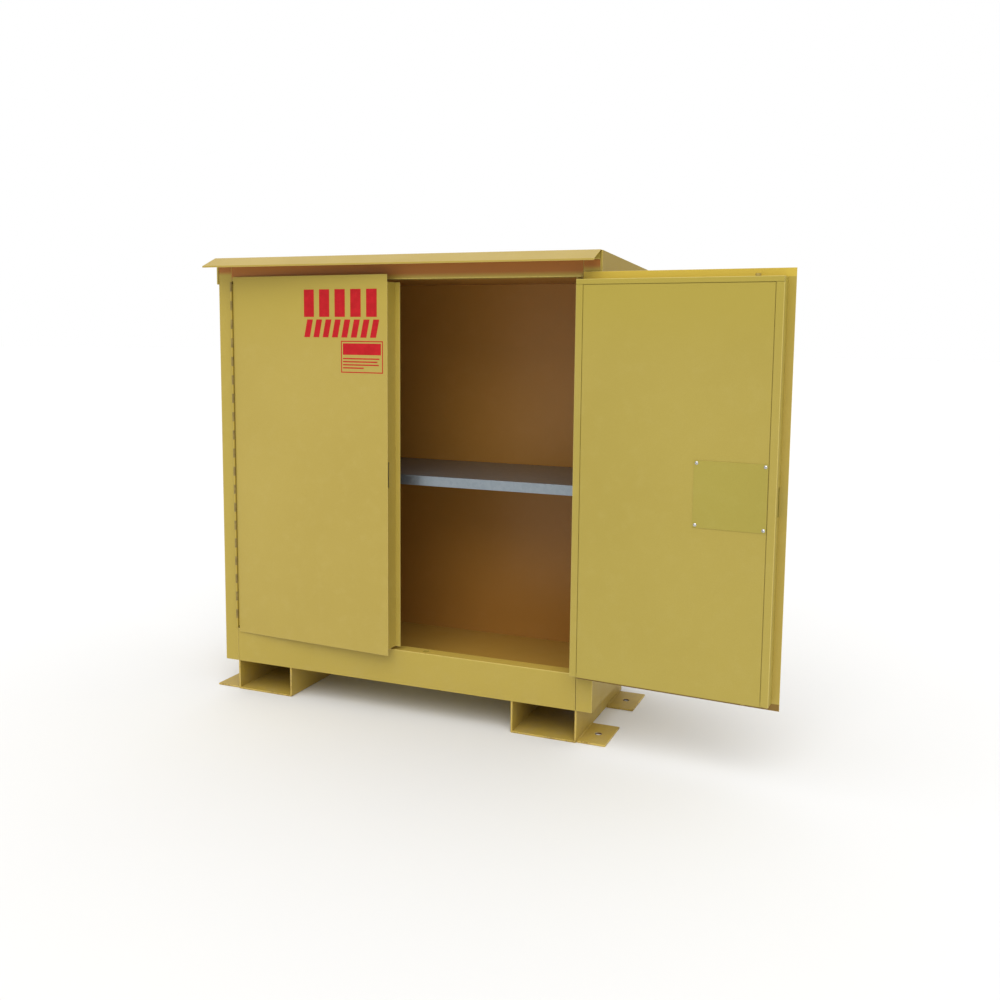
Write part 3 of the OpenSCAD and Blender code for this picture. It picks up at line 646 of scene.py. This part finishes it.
def round_edges(mesh, edges, radius, segments, edge_layer):
    """Bevels the edges, and marks the new faces."""
    shape = {"segments": segments, "profile": 0.5, "affect": "EDGES", "clamp_overlap": True}
    made = bmesh.ops.bevel(mesh, geom=edges, offset=radius, **shape)
    for face in made["faces"]:
        face[edge_layer] = 1.0


def mark_plate(mesh, middle, edge_layer, bore_bare_and_shade_layer):
    """Marks a thick plate's bore walls as bare, and its cut faces as half an edge."""
    # Bore walls: bare steel painted dark for the holes' shade; cut faces: half the painted highlight.
    for face in mesh.faces:
        off = face.calc_center_median() - middle
        if off.xy.length < BORE_REACH and abs(face.normal.z) < 0.5:
            face[bore_bare_and_shade_layer] = 1.0
        elif width(face) < CUT_FACE:
            face[edge_layer] = 0.5


# %% One soft copy
def cleaned(data):
    """A bmesh of some mesh data, with its triangles merged into whole flat faces."""
    mesh = bmesh.new()
    mesh.from_mesh(data)
    bmesh.ops.remove_doubles(mesh, verts=mesh.verts, dist=SAME_PLACE)
    flat = math.radians(FLAT_ANGLE)
    whole = {"verts": mesh.verts, "edges": mesh.edges, "delimit": {"NORMAL"}}
    bmesh.ops.dissolve_limit(mesh, angle_limit=flat, **whole)
    return mesh


def soften(members, material, cut, fold=0.0, segments=2, thick_plate=False, name=None):
    """Replaces CAD nodes with one copy of them: folds get one radius, cut edges another."""
    members = [members] if isinstance(members, str) else members
    mesh = cleaned(united(members))
    edge_layer = mesh.faces.layers.float.new("edge")
    bore_bare_and_shade_layer = mesh.faces.layers.float.new("bare")
    if thick_plate:
        low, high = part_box(members[0])
        mark_plate(mesh, (low + high) / 2, edge_layer, bore_bare_and_shade_layer)
    if fold:
        folds = [e for e in turning(mesh.edges, FOLD_ANGLE) if is_fold(e)]
        round_edges(mesh, folds, fold, FOLD_STEPS, edge_layer)
    cuts = [e for e in turning(mesh.edges, CUT_ANGLE) if is_cut(e, edge_layer)]
    round_edges(mesh, cuts, cut, segments, edge_layer)
    soft = as_data(mesh, name or members[0] + "_soft")
    soft.shade_smooth()
    piece = link(soft.name, soft, material, BODY_OF[members[0]])
    weights = piece.modifiers.new("weighted_normals", "WEIGHTED_NORMAL")
    weights.mode = "FACE_AREA"
    weights.weight = BIG_FACES_LEAD
    for member in members:
        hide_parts(member)
    return piece


# %% Soft copies of the cabinet's sheet metal
FOLD = 2.2 * MM
CUT = 0.45 * MM
for side in ("left", "right"):
    side_sheet = [f"side_panel_{side}", f"frame_stile_{side}"]
    soften(side_sheet, paint_stile, CUT, FOLD, name=f"side_shell_{side}")
    soften(f"roof_skirt_{side}", paint_shell, 0.5 * MM, 1.2 * MM)
    soften(f"liner_{side}", paint_inside, 0.4 * MM)
    soften(f"vent_cap_{side}", paint_shell, 1.2 * MM, segments=3)
    soften(f"fork_channel_{side}", paint_base, 0.9 * MM, 3.5 * MM, thick_plate=True)
    for end in ("front", "rear"):
        soften(f"foot_plate_{end}_{side}", paint_base, 0.9 * MM, thick_plate=True)
for node in ("back_panel", "bottom_panel", "top_panel", "roof_rail"):
    soften(node, paint_shell, CUT, FOLD)
soften("frame_sill", paint_sill, CUT, FOLD)
soften("frame_header", paint_header, CUT, FOLD)
soften("roof_sheet", paint_eave, 0.7 * MM, 2.4 * MM)
for node in ("liner_back", "liner_ceiling"):
    soften(node, paint_inside, 0.4 * MM)
soften("liner_floor", paint_inside_floor, 0.4 * MM)

# %% Soft copies of the doors, the shelf and the handle
# Both liners and the open right door's box take the inner face's darker yellow: painted shade.
DOOR_PAINTS = {
    "left": (paint_doors, paint_doors),
    "right": (paint_right_skin, paint_inner_face),
}
for side, (skin_paint, box_paint) in DOOR_PAINTS.items():
    soften(f"{side}_door_skin", skin_paint, 0.5 * MM)
    soften(f"{side}_door_frame", box_paint, CUT, FOLD)
    soften(f"{side}_door_liner", paint_inner_face, 0.4 * MM, 1.0 * MM)
soften("left_door_astragal", paint_doors, 0.5 * MM)
soften("latch_cover_plate", paint_cover, 0.5 * MM)
soften("shelf", zinc_sheet, 0.4 * MM, 1.8 * MM)
soften("handle_lever", METAL["powder_black"], 2.2 * MM, segments=4)
soften("handle_escutcheon", METAL["powder_black"], 1.0 * MM, segments=3)
soft_pieces = [o for o in bpy.data.objects if "weighted_normals" in o.modifiers]
soft_faces = sum(len(piece.data.polygons) for piece in soft_pieces)
print(len(soft_pieces), "soft copies with", soft_faces, "faces")

# %% [markdown]
# ## The other CAD nodes
#
# Pins, rods, hinge leaves and the inside of the latch keep the CAD's own shape, which is already
# right. They only get a finish. It goes by the slot that the record gives them, except where a slot's
# nodes differ: the rods are passivated yellow, and the hinges' pins and door leaves are steel in a
# dark yellow that paints the hinge's shade.

# %% Finishes for the CAD nodes that stay
FINISH = {
    "yellow_paint": paint_shell,
    "yellow_paint_inside": paint_inside,
    "yellow_paint_doors": paint_doors,
    "galvanised_steel": zinc_sheet,
    "zinc_plated_steel": METAL["zinc_plate"],
    "black_handle": METAL["powder_black"],
    "chrome_lock": METAL["chrome_plate"],
    "brass_stud": METAL["brass_turned"],
    "arrester_mesh": METAL["steel_screen"],
}
BY_NAME = dict.fromkeys(("top_rod", "bottom_rod"), METAL["zinc_yellow_chromate"])
# The hinges' door leaves and pins take the dark yellow of painted shade.
for side in ("left", "right"):
    BY_NAME[f"{side}_door_hinge_leaf"] = METAL["oiled_hinge_steel"]
    BY_NAME[f"hinge_pin_{side}"] = METAL["oiled_hinge_steel"]
for name, node in nodes.items():
    finish = BY_NAME.get(name, FINISH[SLOT_OF[name]])
    node.data.materials.clear()
    node.data.materials.append(finish)
print(len(nodes), "nodes finished,", len(BY_NAME), "of them by name")

# %% [markdown]
# ## Screws of the access plate
#
# The latch is reached through a plate with four pan-head screws. A screw is a lathe profile turned
# about its axis, with the thread as rings, which can't be told from a helix at this size. The cross
# is cut out of the head afterwards. The place and the size come from the CAD's own four screws.

# %% The doors' own space
hinges = {joint["child"]: joint for joint in frame["joints"]}
LEFT_OPEN = math.radians(-hinges["left_door"]["range_deg"][0])
RIGHT_OPEN = math.radians(-hinges["right_door"]["range_deg"][0])


def door_matrix(side):
    """From a door's own space (across from the hinge, into the cabinet, up) to the row frame."""
    body = "left_door" if side < 0 else "right_door"
    axis = Vector(hinges[body]["pos_m"])
    axis.z = 0
    turn = -LEFT_OPEN if side < 0 else RIGHT_OPEN
    flip = Matrix.Diagonal((1 if side < 0 else -1, 1, 1, 1))
    return Matrix.Translation(axis) @ Matrix.Rotation(turn, 4, "Z") @ flip


def door_box(node, side):
    """A door node's box in the door's own space."""
    back = door_matrix(side).inverted()
    points = [back @ v.co for v in nodes[node].data.vertices]
    return [Vector(map(pick, zip(*points))) for pick in (min, max)]


print("doors open by", round(math.degrees(LEFT_OPEN), 1), round(math.degrees(RIGHT_OPEN), 1))

# %% One screw
HEAD_R = 4.0 * MM
HEAD_H = 2.2 * MM
RIM_H = 0.4 * MM
SHANK_R = 1.9 * MM
PITCH = 0.9 * MM
ROUND_SIDES = 40
DOME_STEPS = 9
CROSS_TOP = (2.3 * MM, 0.50 * MM)
CROSS_BOTTOM = (1.0 * MM, 0.34 * MM)
CROSS_DEPTH = 1.35 * MM


def screw_profile(plate, tip, top):
    """Half the screw's outline as (radius, depth), from the head's top to the tip."""
    dome_h = HEAD_H - RIM_H
    dome_r = (HEAD_R ** 2 + dome_h ** 2) / (2 * dome_h)
    widest = math.asin(HEAD_R / dome_r)
    angles = [k / DOME_STEPS * widest for k in range(DOME_STEPS + 1)]
    line = [(dome_r * math.sin(a), top - dome_r * (1 - math.cos(a))) for a in angles]
    line += [(HEAD_R, plate + 0.1 * MM), (HEAD_R - 0.1 * MM, plate), (SHANK_R, plate)]
    depth = plate - PITCH
    while depth > tip + PITCH:
        line += [(SHANK_R, depth), (SHANK_R * 0.8, depth - PITCH / 2)]
        depth -= PITCH
    return line + [(SHANK_R * 0.6, tip), (0, tip)]


def turned(profile):
    """A closed mesh made by turning a profile about the depth axis."""
    mesh = bmesh.new()
    rings = []
    for radius, depth in profile:
        sides = 1 if radius < 1e-9 else ROUND_SIDES
        angles = [2 * math.pi * j / ROUND_SIDES for j in range(sides)]
        ring = [(radius * math.cos(a), depth, radius * math.sin(a)) for a in angles]
        rings.append([mesh.verts.new(point) for point in ring])
    for a, b in zip(rings, rings[1:]):
        for j in range(ROUND_SIDES):
            corners = [a[j % len(a)], a[(j + 1) % len(a)], b[(j + 1) % len(b)], b[j % len(b)]]
            mesh.faces.new(list(dict.fromkeys(corners)))
    bmesh.ops.recalc_face_normals(mesh, faces=mesh.faces)
    return mesh


def cross(arm, half, depth):
    """The twelve corners of a plus sign."""
    quarter = [(arm, -half), (arm, half), (half, half)]
    points = []
    for turn in range(4):
        c, s = (1, 0, -1, 0)[turn], (0, 1, 0, -1)[turn]
        points += [(c * x - s * z, depth, s * x + c * z) for x, z in quarter]
    return points


def recess(top):
    """The driver's cross, narrower at its bottom."""
    mesh = bmesh.new()
    upper = [mesh.verts.new(p) for p in cross(*CROSS_TOP, top + 0.2 * MM)]
    lower = [mesh.verts.new(p) for p in cross(*CROSS_BOTTOM, top - CROSS_DEPTH)]
    mesh.faces.new(upper)
    mesh.faces.new(list(reversed(lower)))
    for j in range(12):
        k = (j + 1) % 12
        mesh.faces.new((upper[j], lower[j], lower[k], upper[k]))
    bmesh.ops.recalc_face_normals(mesh, faces=mesh.faces)
    return mesh


# %% Four screws
TURN_LOW = 17
TURN_HIGH = 52
TURN_PER_METRE = 900
CORNER_ANGLE = 38
low, high = door_box("cover_screws", 1)
plate_face = door_box("latch_cover_plate", 1)[1].y
blank = as_data(turned(screw_profile(plate_face, low.y, high.y)), "screw")
one_screw = combined(blank, as_data(recess(high.y), "recess"), "DIFFERENCE")
four = bmesh.new()
for u in (low.x + HEAD_R, high.x - HEAD_R):
    for z, turn in ((low.z + HEAD_R, TURN_LOW), (high.z - HEAD_R, TURN_HIGH)):
        twist = Matrix.Rotation(math.radians(turn + TURN_PER_METRE * u), 4, "Y")
        copy = one_screw.copy()
        copy.transform(Matrix.Translation((u, 0, z)) @ twist)
        four.from_mesh(copy)
four.transform(door_matrix(1))
bmesh.ops.recalc_face_normals(four, faces=four.faces)
four_data = as_data(four, "cover_screws_turned")
four_data.shade_smooth()
screws = link("cover_screws_turned", four_data, METAL["screw_steel"], "right_door")
crisp_corners = screws.modifiers.new("crisp_corners", "EDGE_SPLIT")
crisp_corners.split_angle = math.radians(CORNER_ANGLE)
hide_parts("cover_screws")
print("one screw:", len(one_screw.polygons), "faces")

# %% [markdown]
# ## Weld beads
#
# The base is arc-welded: each foot plate has a bead along its channel, and short stitches run along
# the channels' upper edges. A plain tube would look extruded, so the bead swells and shrinks once for
# every drop of weld metal: a radius that follows a cosine along the path, pressed half into the
# corner.

# %% Weld beads
BEAD_SIDES = 8
DROP = 3.4 * MM
RINGS_PER_DROP = 4


def ring_of(mesh, centre, radius, side, other):
    """One ring of corners about a point."""
    angles = [2 * math.pi * j / BEAD_SIDES for j in range(BEAD_SIDES)]
    ways = [math.cos(a) * side + math.sin(a) * other for a in angles]
    return [mesh.verts.new(centre + radius * way) for way in ways]


def weld_bead(name, start, end, radius):
    """A rippled bead of weld metal between two points."""
    start = Vector(start)
    end = Vector(end)
    along = (end - start).normalized()
    side = along.orthogonal().normalized()
    other = along.cross(side)
    rings = max(6, round((end - start).length / DROP * RINGS_PER_DROP))
    mesh = bmesh.new()
    loops = []
    for k in range(rings + 1):
        t = k / rings
        ripple = 0.86 + 0.14 * math.cos(2 * math.pi * k / RINGS_PER_DROP)
        taper = min(1.0, 6 * t + 0.35, 6 * (1 - t) + 0.35)
        loops.append(ring_of(mesh, start.lerp(end, t), radius * ripple * taper, side, other))
    for a, b in zip(loops, loops[1:]):
        for j in range(BEAD_SIDES):
            mesh.faces.new((a[j], a[(j + 1) % BEAD_SIDES], b[(j + 1) % BEAD_SIDES], b[j]))
    mesh.faces.new(list(reversed(loops[0])))
    mesh.faces.new(loops[-1])
    bmesh.ops.recalc_face_normals(mesh, faces=mesh.faces)
    bead = as_data(mesh, name)
    bead.shade_smooth()
    return link(name, bead, paint_base, "cabinet")


PLATE_BEAD = 2.2 * MM
END_GAP = 4 * MM
for node in (f"foot_plate_{end}_{side}" for end in ("front", "rear") for side in ("left", "right")):
    low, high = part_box(node)
    right_side = low.x > 0
    inner_x = low.x if right_side else high.x
    away = 1 if right_side else -1
    x = inner_x + away * PLATE_BEAD * 0.4
    z = high.z + PLATE_BEAD * 0.3
    weld_bead("bead_" + node, (x, low.y + END_GAP, z), (x, high.y - END_GAP, z), PLATE_BEAD)

STITCHES = (0.04, 0.36, 0.68)
STITCH_LONG = 0.11
for side in ("left", "right"):
    low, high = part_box("fork_channel_" + side)
    z = high.z - PLATE_BEAD
    outward = 1 if side == "right" else -1
    outer_x = high.x if side == "right" else low.x
    inner_x = low.x if side == "right" else high.x
    for edge, x, away in (("outer", outer_x, outward), ("inner", inner_x, -outward)):
        bead_x = x + away * PLATE_BEAD * 0.3
        for stitch, share in enumerate(STITCHES):
            y = low.y + share * (high.y - low.y)
            name = f"bead_{side}_{edge}_{stitch}"
            weld_bead(name, (bead_x, y, z), (bead_x, y + STITCH_LONG, z), PLATE_BEAD)
beads = [o for o in bpy.data.objects if o.name.startswith("bead_")]
print(len(beads), "weld beads")

# %% [markdown]
# ## Door markings
#
# The doors carry red vinyl markings beside their meeting edges. Lettering is left out: a row of
# upright bars and a row of slanted ones take its place on each door, and on the left door a bordered
# label with a bar and thin rules. They are cut pieces of film 0.15 mm thick, and not a texture, so
# that they keep a crisp edge from near by.

# %% Cut film
FILM = 0.15 * MM
SUNK = 0.02 * MM
SKIN_OUTER = 2.0 * MM


def film(name, outlines, side):
    """Cut film on a door's skin, from outlines in door space: lists of (across, up) in metres."""
    mesh = bmesh.new()
    for outline in outlines:
        back = [mesh.verts.new((u, SKIN_OUTER + SUNK, z)) for u, z in outline]
        front = [mesh.verts.new((u, SKIN_OUTER - FILM, z)) for u, z in outline]
        mesh.faces.new(front)
        mesh.faces.new(list(reversed(back)))
        for j in range(len(outline)):
            k = (j + 1) % len(outline)
            mesh.faces.new((front[j], back[j], back[k], front[k]))
    bmesh.ops.recalc_face_normals(mesh, faces=mesh.faces)
    mesh.transform(door_matrix(side))
    body = "left_door" if side < 0 else "right_door"
    return link(name, as_data(mesh, name), red_vinyl, body)


def bar_row(u0, u1, z0, z1, count, share, slant):
    """A row of bars that fills a rectangle, upright where the slant is 0."""
    pitch = (u1 - u0) / count
    lean = slant * (z1 - z0)
    bars = []
    for k in range(count):
        left = u0 + k * pitch
        right = left + share * pitch
        bars.append([(left, z0), (right, z0), (right + lean, z1), (left + lean, z1)])
    return bars


def strip(u0, u1, z0, z1):
    """One level or upright strip of film."""
    return [(u0, z0), (u1, z0), (u1, z1), (u0, z1)]


def border(u0, u1, z0, z1, thick):
    """Four strips that close round a rectangle."""
    upper = strip(u0, u1, z1 - thick, z1)
    lower = strip(u0, u1, z0, z0 + thick)
    first = strip(u0, u0 + thick, z0 + thick, z1 - thick)
    last = strip(u1 - thick, u1, z0 + thick, z1 - thick)
    return [upper, lower, first, last]


# %% Door markings
ROW_START = 0.2415
ROW_END = 0.485
BIG_ROW = (1.0555, 1.1270)
SMALL_ROW = (1.0025, 1.0490)
SMALL_ROW_TRIM = 0.008
SLANT = 0.22
PANEL = (0.3580, 0.4865, 0.9115, 0.9940)
PANEL_BORDER = 2.6 * MM
PANEL_INSET = 0.006
PANEL_BAR = (0.9580, 0.9875)
RULE_HEIGHT = 0.0032
RULES = ((0.9465, 0.118), (0.9385, 0.112), (0.9305, 0.116), (0.9225, 0.070))
for side, name in ((-1, "left"), (1, "right")):
    big = bar_row(ROW_START, ROW_END, *BIG_ROW, 5, 0.66, 0.0)
    film(f"marking_big_row_{name}", big, side)
    small = bar_row(ROW_START, ROW_END - SMALL_ROW_TRIM, *SMALL_ROW, 8, 0.62, -SLANT * side)
    film(f"marking_small_row_{name}", small, side)
label = border(*PANEL, PANEL_BORDER)
label.append(strip(PANEL[0] + PANEL_INSET, PANEL[1] - PANEL_INSET, *PANEL_BAR))
for z, length in RULES:
    label.append(strip(PANEL[0] + PANEL_INSET, PANEL[0] + length, z, z + RULE_HEIGHT))
film("marking_label", label, -1)
markings = [o for o in bpy.data.objects if o.name.startswith("marking_")]
print(len(markings), "pieces of film,", round(1000 * FILM, 2), "mm thick")

# %% [markdown]
# ## Sizes
#
# The CAD's own box is printed.

# %% The CAD's box
print("CAD box", [round(x, 4) for c in cad_box for x in c])
